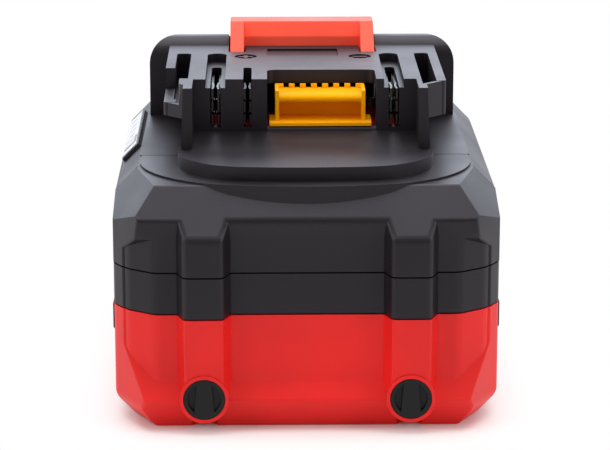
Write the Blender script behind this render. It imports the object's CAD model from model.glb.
"""Slide-on battery pack for cordless power tools: the finished look of the case, the latch,
the contacts, the connector, the gauge and the stage it stands on."""

import math

import bmesh
import bpy
from bpy.props import FloatProperty, FloatVectorProperty, PointerProperty
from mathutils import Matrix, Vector
from mathutils.bvhtree import BVHTree
from mathutils.kdtree import KDTree


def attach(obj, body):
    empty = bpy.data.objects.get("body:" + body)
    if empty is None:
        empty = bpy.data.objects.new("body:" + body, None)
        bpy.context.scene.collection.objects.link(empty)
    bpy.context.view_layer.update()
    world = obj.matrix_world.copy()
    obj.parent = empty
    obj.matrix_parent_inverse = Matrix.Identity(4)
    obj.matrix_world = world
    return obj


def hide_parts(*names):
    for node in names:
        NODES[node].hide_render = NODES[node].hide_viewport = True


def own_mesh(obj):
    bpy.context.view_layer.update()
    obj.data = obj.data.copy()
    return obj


bl_info = {
    "name": "Power Tool Battery Pack",
    "version": (1, 0, 0),
    "blender": (4, 5, 0),
    "location": "3D View > Sidebar > Battery Pack",
    "description": "Builds the moulded case, latch, contacts, gauge and studio of a slide-on battery pack",
    "category": "Add Mesh",
}

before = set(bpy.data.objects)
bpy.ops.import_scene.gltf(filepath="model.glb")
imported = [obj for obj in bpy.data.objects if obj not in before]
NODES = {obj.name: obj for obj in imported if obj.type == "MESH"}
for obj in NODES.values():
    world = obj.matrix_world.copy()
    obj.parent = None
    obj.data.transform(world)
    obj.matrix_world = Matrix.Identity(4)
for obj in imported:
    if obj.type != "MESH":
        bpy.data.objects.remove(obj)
MM = 0.001

# Cleaning of a copied mesh: points that are one, and faces that are one
WELD = 0.02 * MM
FLAT_TURN = math.radians(0.6)

# Fitting of the rounding: the share of an edge that it may take up, the most that one sweep
# narrows it, and the corners that count as straight, by their sine unless they are sharp
FIT_SWEEPS = 14
EDGE_SHARE = 0.8
LEAST_STEP = 0.4
STRAIGHT_SINE, SHARP_CORNER = 0.2, 1.0

# Rounding of the edges, its trial and its repair
BEVEL_SEGMENTS = 3
LEAST_RADIUS = 0.02 * MM
MARK_PITCH = 0.4 * MM
TINY_AREA = 1e-11
FOLDED = -0.3
STRAY_SHARE = 0.7
NEAR, NEAR_SHARE = 0.3 * MM, 0.5
ATTEMPTS, SHRINKS, SHRINK = 8, 5, 0.55
FIRST_TURN, LATER_TURN = math.radians(14), math.radians(38)
SMOOTH_TURN, COIL_TURN = math.radians(32), math.radians(40)

# Outer facets of the case: the sharpest turn and the shortest edge that still count as one,
# and the edges that run on a slant across a corner
FACET_TURN, FACET_LENGTH = math.radians(76), 1.5 * MM
SLANT_TURN, SLANT_PART, SLANT_SHARE = math.radians(50), 0.2, 0.3
RIM_BELOW, RIM_ABOVE = -0.02 * MM, 0.15 * MM

# Rounding of the small pieces
COMB_EDGE = 0.12 * MM
PLUG_EDGE = 0.15 * MM
STRIP_EDGE, FACE_EDGE, KEY_EDGE = 0.2 * MM, 0.12 * MM, 0.25 * MM

# Finishes
GRAIN_RELIEF = 0.1 * MM
FILM_TURNED_IN = (29.6 * MM, 30.2 * MM)
PLAIN_SHEEN = (1, 1, 1)
CHARCOAL_SHEEN = (0.96, 0.90, 1.0)
COMB_SHEEN = (1.0, 0.7, 0.2)
STEEL = (0.60, 0.60, 0.62)

# Stage
FLOOR_SIZE = 6
SHADOW_CORE, SHADOW_FADE = (0.030, 0.050, 0), (0.001, 0.017)
SOFT_COLOUR, SOFT_STRENGTH = (0.94, 0.97, 1.0, 1), 0.27
MIRRORED_COLOUR, MIRRORED_FRONT = (0.88, 0.92, 1.0, 1), 0.15
FRONT_TO_BACK = (-0.9, 0.2)
NEUTRAL, COOL, WARM = (1.0, 0.985, 0.97), (0.79, 0.86, 1.0), (1.0, 0.86, 0.72)
LAMPS = (
    ("top_softbox", (0.0, 0.10, 0.75), (0.9, 0.8), 6.5, NEUTRAL),
    ("back_softbox", (0.0, 1.05, 0.52), (1.6, 0.7), 8.2, COOL),
    ("left_softbox", (-0.75, -0.38, 0.42), (0.5, 0.6), 2.7, NEUTRAL),
    ("right_softbox", (0.75, -0.38, 0.42), (0.5, 0.6), 2.7, NEUTRAL),
    ("front_softbox", (0.0, -0.75, 0.62), (0.9, 0.35), 0.7, WARM),
)
LAMP_TARGET = Vector((0, 0, 0.03))
CAMERA_PLACE = (-0.0085, -0.5381, 0.1657)
CAMERA_PITCH, CAMERA_YAW = math.radians(14.4), math.radians(0.95)
CAMERA_LENS, CAMERA_SENSOR = 153.4, 36


def colour_setting(name, description, default):
    """A colour that a user may change."""
    return FloatVectorProperty(name=name, description=description, subtype='COLOR', size=3,
                               min=0, max=1, default=default)


def radius_setting(name, description, default, low, high):
    """A rounding that a user may change, given in millimetres."""
    return FloatProperty(name=name, description=description, subtype='DISTANCE', unit='LENGTH',
                         default=default * MM, min=low * MM, max=high * MM)


class PackColours(bpy.types.PropertyGroup):
    """Colours of the pack's plastics and metals"""
    case_black: colour_setting("Case black", "Charcoal of the upper shell and the band",
                               (0.0080, 0.0060, 0.0084))
    case_red: colour_setting("Case red", "Red of the foot tub", (0.72, 0.013, 0.011))
    latch_red: colour_setting("Latch red", "Red of the release latch", (1.0, 0.098, 0.055))
    connector: colour_setting("Connector yellow", "Yellow of the comb connector", (0.95, 0.40, 0.004))
    contact: colour_setting("Contact metal", "Plating of the contacts", (0.050, 0.047, 0.043))
    gauge: colour_setting("Gauge grey", "Light grey of the gauge strip", (0.66, 0.675, 0.70))
    plug: colour_setting("Plug black", "Black of the rib plugs", (0.0060, 0.0058, 0.0062))
    floor: colour_setting("Floor", "Pale floor under the pack", (0.93, 0.93, 0.93))


class PackSizes(bpy.types.PropertyGroup):
    """Sizes of the rounded edges and of the moulded grain"""
    rim: radius_setting("Rim radius", "Rounding along the parting lines of the case", 0.25, 0.1, 0.6)
    edge: radius_setting("Edge radius", "Rounding of the small moulded edges", 0.22, 0.05, 0.6)
    form: radius_setting("Form radius", "Rounding of the main facets and ribs", 0.9, 0.2, 1.5)
    grain: FloatProperty(name="Grain depth", description="Depth of the moulded grain",
                         default=0.12, min=0, max=1)


def deselect():
    """Leaves edit mode and deselects everything."""
    if bpy.context.object and bpy.context.object.mode != 'OBJECT':
        bpy.ops.object.mode_set(mode='OBJECT')
    bpy.ops.object.select_all(action='DESELECT')


def take(obj):
    """Makes one object the only selected and active one."""
    deselect()
    obj.hide_viewport = False
    obj.select_set(True)
    bpy.context.view_layer.objects.active = obj


def working_copy(node, name):
    """Copies a node into a piece of its own and welds its loose triangles into flat faces."""
    source = NODES[node]
    obj = source.copy()
    obj.data = source.data.copy()
    obj.name = obj.data.name = name
    obj.parent = None
    obj.matrix_world.identity()
    bpy.context.scene.collection.objects.link(obj)
    take(obj)
    bpy.ops.object.mode_set(mode='EDIT')
    bpy.ops.mesh.select_all(action='SELECT')
    bpy.ops.mesh.remove_doubles(threshold=WELD)
    bpy.ops.mesh.dissolve_degenerate(threshold=WELD)
    bpy.ops.mesh.customdata_custom_splitnormals_clear()
    bpy.ops.mesh.dissolve_limited(angle_limit=FLAT_TURN)
    bpy.ops.object.mode_set(mode='OBJECT')
    return obj


def fit_widths(mesh, widths):
    """Narrows the rounding of each edge until it fits the faces on both its sides."""
    for _ in range(FIT_SWEEPS):
        tight = {}
        for face in mesh.faces:
            for loop in face.loops:
                edge, after = loop.edge, loop.link_loop_next
                used, users = 0, []
                for corner, other in ((loop, loop.link_loop_prev.edge), (after, after.edge)):
                    angle = corner.calc_angle() if corner.is_convex else 2 * math.pi - corner.calc_angle()
                    if abs(math.sin(angle)) < STRAIGHT_SINE and angle > SHARP_CORNER:
                        continue
                    take_up = (widths.get(other, 0) + widths.get(edge, 0) * math.cos(angle)) / math.sin(angle)
                    if take_up > 0:
                        used += take_up
                        users += [e for e in (other, edge) if e in widths]
                room = EDGE_SHARE * edge.calc_length()
                if used > room:
                    for user in users:
                        tight[user] = min(tight.get(user, 1), max(room / used, LEAST_STEP))
        if not tight:
            break
        for edge, factor in tight.items():
            widths[edge] *= factor


def misfits(tree, mesh, reach):
    """Finds the points where a rounded mesh folds over or strays from the surface it started from."""
    spots = []
    mesh.calc_loop_triangles()
    for triangle in mesh.loop_triangles:
        if triangle.area < TINY_AREA:
            continue
        corners = [mesh.vertices[i].co for i in triangle.vertices]
        _, normal, _, distance = tree.find_nearest(sum(corners, Vector()) / 3)
        if distance > reach or normal.dot(triangle.normal) < FOLDED:
            spots += [corner.copy() for corner in corners]
    return spots


def edge_marks(edges):
    """Sets marks along edges, and makes a finder that gives their numbers near a point."""
    marks = []
    for edge in edges:
        start, end = (vertex.co.copy() for vertex in edge.verts)
        steps = 2 + int((end - start).length / MARK_PITCH)
        marks += [(start.lerp(end, i / steps), edge) for i in range(steps + 1)]
    finder = KDTree(len(marks))
    for i, (point, _) in enumerate(marks):
        finder.insert(point, i)
    finder.balance()
    return marks, finder


def round_edges(obj, width, bluntest):
    """Rounds the outer edges that turn by more than bluntest with an applied bevel.

    width is one radius, or a function that gives the radius for an edge. Where the bevel
    folds or strays, the edges near it are narrowed, and in the last attempts left sharp."""
    mesh = bmesh.new()
    mesh.from_mesh(obj.data)
    weight = mesh.edges.layers.float.new("bevel_weight_edge")
    tree = BVHTree.FromBMesh(mesh)
    widths = {}
    for edge in mesh.edges:
        if len(edge.link_faces) == 2 and edge.is_convex and edge.calc_face_angle() > bluntest:
            wanted = width(edge) if callable(width) else width
            if wanted:
                widths[edge] = wanted
    fit_widths(mesh, widths)
    broadest = max(widths.values())
    marks, finder = edge_marks(widths)
    bevel = obj.modifiers.new("rounded_edges", 'BEVEL')
    bevel.limit_method = 'WEIGHT'
    bevel.width = broadest
    bevel.segments = BEVEL_SEGMENTS
    bevel.use_clamp_overlap = False
    for attempt in range(ATTEMPTS):
        for edge, fitted in widths.items():
            edge[weight] = fitted / broadest if fitted > LEAST_RADIUS else 0
        mesh.to_mesh(obj.data)
        obj.data.update()
        rounded = obj.evaluated_get(bpy.context.evaluated_depsgraph_get()).data
        spots = misfits(tree, rounded, STRAY_SHARE * broadest)
        if not spots:
            break
        near = {marks[i][1] for spot in spots
                for _, i, _ in finder.find_range(spot, NEAR + NEAR_SHARE * broadest)}
        for edge in near:
            widths[edge] *= SHRINK if attempt < SHRINKS else 0
    mesh.free()
    bpy.ops.object.modifier_apply(modifier=bevel.name)


def soften(obj, *widths):
    """Rounds a piece in passes, the broad edges first, and keeps its flats flat."""
    take(obj)
    for turn, width in enumerate(widths):
        round_edges(obj, width, LATER_TURN if turn else FIRST_TURN)
    bpy.ops.object.shade_smooth_by_angle(angle=SMOOTH_TURN)
    flats = obj.modifiers.new("flat_faces", 'WEIGHTED_NORMAL')
    flats.keep_sharp = True
    bpy.ops.object.modifier_apply(modifier=flats.name)


def finish_piece(obj, node, body, material):
    """Gives a piece its material, its body and the node that it stands for."""
    obj.data.materials.clear()
    obj.data.materials.append(material)
    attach(obj, body)
    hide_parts(node)


def moulded_piece(node, name, body, slot, material, *widths):
    """Makes a rounded copy of a node that stands for it."""
    piece = working_copy(node, name)
    soften(piece, *widths)
    finish_piece(piece, node, body, material)


def dress(node, material):
    """Gives a node that keeps its own shape a finish."""
    NODES[node].data.materials.clear()
    NODES[node].data.materials.append(material)


class Wiring:
    """Adds nodes to a tree; each input takes a number, a colour or another node's output."""

    def __init__(self, tree):
        self.nodes, self.links = tree.nodes, tree.links

    def add(self, kind, inputs=None, **settings):
        node = self.nodes.new('ShaderNode' + kind)
        for name, value in settings.items():
            setattr(node, name, value)
        for key, value in (inputs or {}).items():
            if isinstance(value, bpy.types.NodeSocket):
                self.links.new(value, node.inputs[key])
            else:
                node.inputs[key].default_value = value
        return node

    def maths(self, operation, *values):
        return self.add('Math', dict(enumerate(values)), operation=operation).outputs[0]

    def vectors(self, operation, *values):
        return self.add('VectorMath', dict(enumerate(values)), operation=operation)

    def spread(self, value, low, high, to_low, to_high, **settings):
        limits = {'From Min': low, 'From Max': high, 'To Min': to_low, 'To Max': to_high}
        return self.add('MapRange', {'Value': value, **limits}, **settings).outputs['Result']

    def noise(self, place, scale, **inputs):
        return self.add('TexNoise', {'Vector': place, 'Scale': scale, **inputs}).outputs['Fac']

    def stretched(self, vector, scale):
        return self.add('Mapping', {'Vector': vector, 'Scale': scale}).outputs['Vector']


def effect_group(effect):
    """Makes the node group of a surface effect, with the sockets that all of them share."""
    name = effect.__name__.replace("_", " ").capitalize()
    if name in bpy.data.node_groups:
        return bpy.data.node_groups[name]
    tree = bpy.data.node_groups.new(name, 'ShaderNodeTree')
    for direction, sockets in (
            ('INPUT', (("Colour", 'Color'), ("Scale", 'Float'), ("Roughness", 'Float'), ("Variation", 'Float'))),
            ('OUTPUT', (("Colour", 'Color'), ("Roughness", 'Float'), ("Height", 'Float')))):
        for socket, kind in sockets:
            tree.interface.new_socket(socket, in_out=direction, socket_type='NodeSocket' + kind)
    wiring = Wiring(tree)
    entry = tree.nodes.new('NodeGroupInput').outputs
    place = wiring.add('TexCoord').outputs['Object']
    height, change = effect(wiring, entry, place)
    amount = wiring.maths('MULTIPLY', change, entry["Variation"])
    value = wiring.maths('MULTIPLY_ADD', amount, 1.5, 1)
    tone = wiring.add('HueSaturation', {'Color': entry["Colour"], 'Value': value})
    leave = tree.nodes.new('NodeGroupOutput').inputs
    tree.links.new(tone.outputs['Color'], leave["Colour"])
    tree.links.new(wiring.maths('ADD', entry["Roughness"], amount), leave["Roughness"])
    tree.links.new(height, leave["Height"])
    return tree


def moulded_grain(wiring, entry, place):
    """Spark-eroded grain of a plastic mould, with faint flow marks."""
    fine = wiring.noise(place, entry["Scale"], Detail=3.0, Roughness=0.6)
    cells = wiring.add('TexVoronoi', {'Vector': place, 'Scale': entry["Scale"]})
    broad = wiring.noise(place, 55.0, Detail=5.0)
    height = wiring.maths('MULTIPLY_ADD', cells.outputs['Distance'], 0.5, fine)
    return height, wiring.spread(broad, 0.3, 0.7, -1, 1)


def drawn_lines(wiring, entry, place):
    """Fine parallel lines left on metal by drawing or rolling."""
    lines = wiring.noise(wiring.stretched(place, (1, 0.04, 1)), entry["Scale"], Detail=4.0)
    return lines, wiring.spread(lines, 0.3, 0.7, -1, 1)


def fibre_mat(wiring, entry, place):
    """Pressed paper fibres that lie across each other."""
    across = wiring.noise(wiring.stretched(place, (0.08, 1, 1)), entry["Scale"], Detail=3.0)
    along = wiring.noise(wiring.stretched(place, (1, 0.08, 1)), entry["Scale"], Detail=3.0)
    both = wiring.maths('MAXIMUM', across, along)
    return both, wiring.spread(both, 0.4, 0.75, -1, 1)


def foam_cells(wiring, entry, place):
    """Open cells of a foam pad."""
    cells = wiring.add('TexVoronoi', {'Vector': place, 'Scale': entry["Scale"]}, feature='DISTANCE_TO_EDGE')
    wall = wiring.spread(cells.outputs['Distance'], 0, 0.3, 1, 0)
    return wall, wiring.spread(wall, 0, 1, -1, 1)


def board_traces(wiring, entry, place):
    """Copper tracks that stand out faintly under solder mask."""
    tracks = wiring.add('TexBrick', {'Vector': place, 'Scale': entry["Scale"],
                                     'Mortar Size': 0.03, 'Mortar Smooth': 0.3})
    zones = wiring.spread(wiring.noise(place, 90.0, Detail=0.0), 0.45, 0.5, 0, 1)
    raised = wiring.maths('MULTIPLY', tracks.outputs['Fac'], zones)
    return raised, wiring.spread(raised, 0, 1, -0.4, 1)


def wrapped_film(wiring, entry, place):
    """Shrink film round a cell: fine ripples, and a paler turned-in edge at both ends."""
    ripples = wiring.noise(wiring.stretched(place, (0.15, 1, 1)), entry["Scale"], Detail=2.0)
    along = wiring.maths('ABSOLUTE', wiring.add('SeparateXYZ', {0: place}).outputs['X'])
    ends = wiring.spread(along, *FILM_TURNED_IN, 0, 4)
    return ripples, wiring.maths('ADD', wiring.spread(ripples, 0.3, 0.7, -1, 1), ends)


def finish(name, effect, colour, roughness, scale, bump, variation,
           metallic=0.0, specular=0.25, sheen=PLAIN_SHEEN):
    """Makes a material from a colour and a surface effect; sheen tints its reflections."""
    if name in bpy.data.materials:
        return bpy.data.materials[name]
    material = bpy.data.materials.new(name)
    material.use_nodes = True
    wiring = Wiring(material.node_tree)
    shader = material.node_tree.nodes['Principled BSDF'].inputs
    shader['Metallic'].default_value = metallic
    shader['Specular IOR Level'].default_value = specular
    shader['Specular Tint'].default_value = (*sheen, 1)
    surface = wiring.add('Group', node_tree=effect_group(effect))
    for socket, value in (("Colour", (*colour, 1)), ("Scale", scale),
                          ("Roughness", roughness), ("Variation", variation)):
        surface.inputs[socket].default_value = value
    relief = wiring.add('Bump', {'Height': surface.outputs["Height"], 'Strength': bump,
                                 'Distance': GRAIN_RELIEF})
    wiring.links.new(surface.outputs["Colour"], shader['Base Color'])
    wiring.links.new(surface.outputs["Roughness"], shader['Roughness'])
    wiring.links.new(relief.outputs['Normal'], shader['Normal'])
    return material


def plastic(name, colour, roughness=0.5, bump=0.12, specular=0.25, sheen=PLAIN_SHEEN):
    """Moulded plastic with a fine grain."""
    return finish(name, moulded_grain, colour, roughness, scale=2600, bump=bump, variation=0.06,
                  specular=specular, sheen=sheen)


def metal(name, colour, roughness=0.3):
    """Drawn or rolled metal with fine lines."""
    return finish(name, drawn_lines, colour, roughness, scale=4000, bump=0.05, variation=0.08,
                  metallic=1.0, specular=0.5)


def solder_mask(name, colour):
    """Lacquer of a circuit board over its copper tracks."""
    return finish(name, board_traces, colour, roughness=0.3, scale=420, bump=0.15, variation=0.25)


class PackOperator(bpy.types.Operator):
    """Shared base of the pack's operators"""
    bl_options = {'REGISTER', 'UNDO'}

    @property
    def colours(self):
        return bpy.context.scene.pack_colours

    @property
    def sizes(self):
        return bpy.context.scene.pack_sizes

    def charcoal(self):
        return plastic("charcoal_plastic", self.colours.case_black, roughness=0.45,
                       bump=self.sizes.grain, specular=0.37, sheen=CHARCOAL_SHEEN)


class PACK_OT_case(PackOperator):
    """Build the foot tub, the band and the upper shell with rounded moulded edges"""
    bl_idname = "pack.case"
    bl_label = "Case shells"

    def execute(self, context):
        sizes, black = self.sizes, self.charcoal()
        red = plastic("red_plastic", self.colours.case_red, roughness=0.42, bump=sizes.grain)
        partings = (max(v.co.z for v in NODES["bottom_cup"].data.vertices),
                    min(v.co.z for v in NODES["upper_housing"].data.vertices))

        def facets(edge):
            """Radius of the blunt edges of the outer facets and ribs, smaller on a slant."""
            turn, run = edge.calc_face_angle(), edge.verts[1].co - edge.verts[0].co
            if turn > FACET_TURN or run.length < FACET_LENGTH:
                return 0
            slanting = turn < SLANT_TURN and min(abs(part) for part in run) > SLANT_PART * run.length
            return SLANT_SHARE * sizes.form if slanting else sizes.form

        def corners(edge):
            """Radius of the other edges, broader on the upper side of a parting line."""
            rim = all(any(RIM_BELOW < v.co.z - z < RIM_ABOVE for z in partings) for v in edge.verts)
            return sizes.rim if rim else sizes.edge

        for node, slot, material in (("bottom_cup", "case_red", red),
                                     ("middle_band", "case_black", black),
                                     ("upper_housing", "case_black", black)):
            moulded_piece(node, node + "_moulded", "pack", slot, material, facets, corners)
        return {'FINISHED'}


class PACK_OT_latch(PackOperator):
    """Build the release latch and the two springs that shorten under it"""
    bl_idname = "pack.latch"
    bl_label = "Release latch"

    def execute(self, context):
        red = plastic("latch_plastic", self.colours.latch_red, roughness=0.45, bump=0.05, specular=0.14)
        moulded_piece("release_latch", "release_latch_moulded", "latch", "latch_red", red, self.sizes.edge)
        springs = working_copy("latch_springs", "latch_springs_wound")
        bpy.ops.object.shade_smooth_by_angle(angle=COIL_TURN)
        finish_piece(springs, "latch_springs", "pack", metal("zinc_steel", STEEL))
        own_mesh(springs)
        return {'FINISHED'}


class PACK_OT_contacts(PackOperator):
    """Give the connector and the contacts their rounded edges and finish"""
    bl_idname = "pack.contacts"
    bl_label = "Connector and contacts"

    def execute(self, context):
        yellow = plastic("connector_plastic", self.colours.connector, bump=0.04, specular=0.08,
                         sheen=COMB_SHEEN)
        plated = metal("plated_contact", self.colours.contact, roughness=0.38)
        moulded_piece("connector_block", "connector_moulded", "pack", "connector_yellow", yellow, COMB_EDGE)
        for node in ("terminal_positive", "terminal_negative", "terminal_signal", "connector_pins"):
            dress(node, plated)
        return {'FINISHED'}


class PACK_OT_plugs(PackOperator):
    """Build the four rib plugs"""
    bl_idname = "pack.plugs"
    bl_label = "Rib plugs"

    def execute(self, context):
        black = plastic("plug_plastic", self.colours.plug, roughness=0.4, bump=0.04)
        for node in ("plug_front_left", "plug_front_right", "plug_rear_left", "plug_rear_right"):
            moulded_piece(node, node + "_moulded", "pack", "plug_black", black, PLUG_EDGE)
        return {'FINISHED'}


class PACK_OT_gauge(PackOperator):
    """Build the charge gauge strip and its key"""
    bl_idname = "pack.gauge"
    bl_label = "Charge gauge"

    def execute(self, context):
        grey = plastic("gauge_plastic", self.colours.gauge, bump=0.03, specular=0.1)
        rubber = plastic("key_rubber", (0.55, 0.56, 0.58), bump=0.08)
        lens = plastic("lamp_lens", (0.60, 0.61, 0.62), roughness=0.15, bump=0.01)
        for node, body, slot, material, width in (
                ("gauge_panel", "pack", "case_black", self.charcoal(), STRIP_EDGE),
                ("gauge_face", "pack", "gauge_grey", grey, FACE_EDGE),
                ("gauge_button", "gauge_key", "gauge_key", rubber, KEY_EDGE)):
            moulded_piece(node, node + "_moulded", body, slot, material, width)
        dress("gauge_leds", lens)
        return {'FINISHED'}


class PACK_OT_inside(PackOperator):
    """Give the cells, boards, strips and fasteners inside their finishes"""
    bl_idname = "pack.inside"
    bl_label = "Inside"

    def execute(self, context):
        foam = finish("grey_foam", foam_cells, (0.10, 0.10, 0.11),
                      roughness=0.85, scale=1800, bump=0.6, variation=0.15)
        fibre = finish("fibre_sheet", fibre_mat, (0.05, 0.25, 0.12),
                       roughness=0.7, scale=1500, bump=0.2, variation=0.12)
        ring = finish("fibre_ring", fibre_mat, (0.82, 0.82, 0.78),
                      roughness=0.8, scale=2500, bump=0.15, variation=0.08)
        wrap = finish("cell_wrap", wrapped_film, (0.05, 0.20, 0.38),
                      roughness=0.28, scale=700, bump=0.08, variation=0.05)
        cells = [node for node in NODES if node.startswith("cell_") and node[5:].isdigit()]
        strips = [node for node in NODES if node.startswith(("bus_", "lead_"))]
        for nodes, material in (
                (["control_board"], solder_mask("red_solder_mask", (0.42, 0.008, 0.012))),
                (["gauge_board"], solder_mask("green_solder_mask", (0.02, 0.18, 0.06))),
                (["board_chips"], plastic("chip_epoxy", (0.02, 0.02, 0.02), roughness=0.45)),
                (["thermistor"], plastic("bead_epoxy", (0.03, 0.03, 0.032), roughness=0.4)),
                (["board_capacitors"],
                 plastic("capacitor_sleeve", (0.18, 0.18, 0.22), roughness=0.35, bump=0.03)),
                (["case_screws", "board_screws", "gauge_dome"], metal("zinc_steel", STEEL)),
                (["cell_holder_left", "cell_holder_right", "board_tray"],
                 plastic("holder_plastic", (0.72, 0.72, 0.68))),
                (["insulator_left", "insulator_right"], fibre),
                (["end_pads", "floor_pads"], foam),
                (["cell_rings"], ring),
                (cells, wrap),
                (strips, metal("nickel_strip", (0.66, 0.64, 0.60), roughness=0.25))):
            for node in nodes:
                dress(node, material)
        return {'FINISHED'}


class PACK_OT_stage(PackOperator):
    """Lay the pale floor, hang the soft lights and place the camera"""
    bl_idname = "pack.stage"
    bl_label = "Stage"

    def execute(self, context):
        scene = context.scene
        scene.view_settings.view_transform = 'Standard'
        self.floor()
        self.world(scene)
        for lamp in LAMPS:
            self.light(*lamp)
        self.camera(scene)
        return {'FINISHED'}

    def floor(self):
        """Pale floor that shows white away from the pack and keeps the shadow close to it."""
        deselect()
        bpy.ops.mesh.primitive_plane_add(size=FLOOR_SIZE, location=(0, 0, 0))
        floor = bpy.context.object
        floor.name = floor.data.name = "floor"
        material = bpy.data.materials.new("pale_floor")
        material.use_nodes = True
        wiring = Wiring(material.node_tree)
        shader = wiring.nodes['Principled BSDF']
        shader.inputs['Base Color'].default_value = (*self.colours.floor, 1)
        shader.inputs['Roughness'].default_value = 0.9
        shader.inputs['Specular IOR Level'].default_value = 0.1
        white = wiring.add('Emission')
        place = wiring.add('TexCoord').outputs['Object']
        corner = wiring.vectors('SUBTRACT', wiring.vectors('ABSOLUTE', place).outputs[0], SHADOW_CORE)
        outside = wiring.vectors('MAXIMUM', corner.outputs[0], (0, 0, 0))
        away = wiring.vectors('LENGTH', outside.outputs[0]).outputs['Value']
        fade = wiring.spread(away, *SHADOW_FADE, 0, 1, interpolation_type='SMOOTHSTEP')
        rays = wiring.add('LightPath').outputs
        seen = rays['Is Camera Ray']
        for other in ('Is Glossy Ray', 'Is Transmission Ray'):
            seen = wiring.maths('MAXIMUM', seen, rays[other])
        share = wiring.maths('MULTIPLY', fade, seen)
        mix = wiring.add('MixShader', {0: share, 1: shader.outputs[0], 2: white.outputs[0]})
        wiring.links.new(mix.outputs[0], wiring.nodes['Material Output'].inputs['Surface'])
        floor.data.materials.append(material)

    def world(self, scene):
        """Soft light all round, white behind the pack and in its reflections, dimmer in front."""
        world = bpy.data.worlds.new("studio")
        scene.world = world
        world.use_nodes = True
        wiring = Wiring(world.node_tree)
        soft = wiring.nodes['Background']
        soft.inputs['Color'].default_value = SOFT_COLOUR
        soft.inputs['Strength'].default_value = SOFT_STRENGTH
        rays = wiring.add('LightPath').outputs
        across = wiring.add('SeparateXYZ', {0: wiring.add('TexCoord').outputs['Generated']}).outputs['Y']
        behind = wiring.spread(across, *FRONT_TO_BACK, MIRRORED_FRONT, 1, interpolation_type='SMOOTHSTEP')
        mirrored = wiring.add('Background', {'Color': MIRRORED_COLOUR, 'Strength': behind})
        white = wiring.add('Background', {'Color': (1, 1, 1, 1)})
        bounced = wiring.maths('MAXIMUM', rays['Is Glossy Ray'], rays['Is Transmission Ray'])
        lit = wiring.add('MixShader', {0: bounced, 1: soft.outputs[0], 2: mirrored.outputs[0]})
        seen = wiring.add('MixShader', {0: rays['Is Camera Ray'], 1: lit.outputs[0], 2: white.outputs[0]})
        wiring.links.new(seen.outputs[0], wiring.nodes['World Output'].inputs['Surface'])

    def light(self, name, at, size, power, colour):
        deselect()
        bpy.ops.object.light_add(type='AREA', location=at)
        lamp = bpy.context.object
        lamp.name = lamp.data.name = name
        lamp.data.shape = 'RECTANGLE'
        lamp.data.size, lamp.data.size_y = size
        lamp.data.energy = power
        lamp.data.color = colour
        lamp.rotation_euler = (LAMP_TARGET - Vector(at)).to_track_quat('-Z', 'Y').to_euler()

    def camera(self, scene):
        deselect()
        bpy.ops.object.camera_add(location=CAMERA_PLACE)
        camera = bpy.context.object
        camera.name = camera.data.name = "photo_camera"
        level = math.cos(CAMERA_PITCH)
        look = Vector((math.sin(CAMERA_YAW) * level, math.cos(CAMERA_YAW) * level, -math.sin(CAMERA_PITCH)))
        camera.rotation_euler = look.to_track_quat('-Z', 'Y').to_euler()
        camera.data.sensor_width = CAMERA_SENSOR
        camera.data.lens = CAMERA_LENS
        camera.data.clip_start = 0.01
        scene.camera = camera


class PACK_PT_panel(bpy.types.Panel):
    """Sidebar panel that lists the steps of the pack"""
    bl_idname = "PACK_PT_panel"
    bl_label = "Battery Pack"
    bl_space_type = 'VIEW_3D'
    bl_region_type = 'UI'
    bl_category = "Battery Pack"

    def draw(self, context):
        column = self.layout.column()
        for step in STEPS:
            column.operator(step.bl_idname)
        for group in (context.scene.pack_colours, context.scene.pack_sizes):
            for name in group.__annotations__:
                column.prop(group, name)


STEPS = (PACK_OT_case, PACK_OT_latch, PACK_OT_contacts, PACK_OT_plugs,
         PACK_OT_gauge, PACK_OT_inside, PACK_OT_stage)
CLASSES = (PackColours, PackSizes, *STEPS, PACK_PT_panel)


def register():
    for cls in CLASSES:
        bpy.utils.register_class(cls)
    bpy.types.Scene.pack_colours = PointerProperty(type=PackColours)
    bpy.types.Scene.pack_sizes = PointerProperty(type=PackSizes)


def unregister():
    del bpy.types.Scene.pack_sizes
    del bpy.types.Scene.pack_colours
    for cls in reversed(CLASSES):
        bpy.utils.unregister_class(cls)


def main():
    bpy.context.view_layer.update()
    register()
    bpy.ops.pack.case()
    bpy.ops.pack.latch()
    bpy.ops.pack.contacts()
    bpy.ops.pack.plugs()
    bpy.ops.pack.gauge()
    bpy.ops.pack.inside()
    bpy.ops.pack.stage()


if __name__ == "__main__":
    main()
